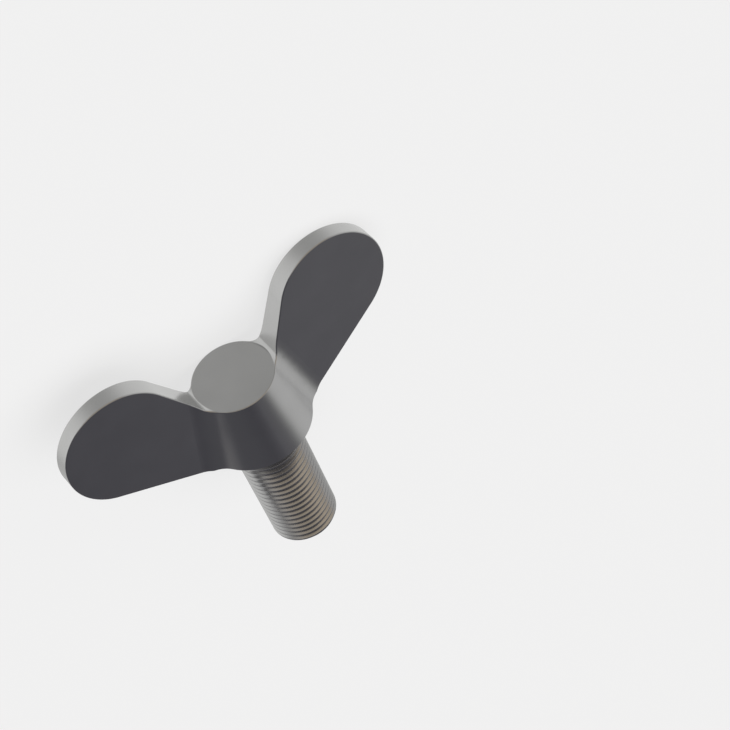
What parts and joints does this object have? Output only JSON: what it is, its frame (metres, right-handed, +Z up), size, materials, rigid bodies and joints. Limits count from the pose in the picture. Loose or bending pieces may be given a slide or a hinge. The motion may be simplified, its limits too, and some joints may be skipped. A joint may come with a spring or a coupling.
{
  "type": "wing screw",
  "caption": "Steel wing screw lying on its side: threaded shank, round tapered hub and flat round-ended wings to turn it by hand.",
  "frame": {"origin": "middle of the footprint, on the surface the screw lies on", "axes": "+Z up from the surface; the wings lie along X, the -X wing touching down; the shank points along +Y and rises by the hub's taper, so the screw's axis is the line X = 0 leaning 11.4 degrees up towards +Y"},
  "size_m": [0.041, 0.0376, 0.0139],
  "materials": {
    "steel": "satin, plain stainless steel"
  },
  "bodies": {
    "root": {"wing_screw": "steel"}
  },
  "joints": []
}
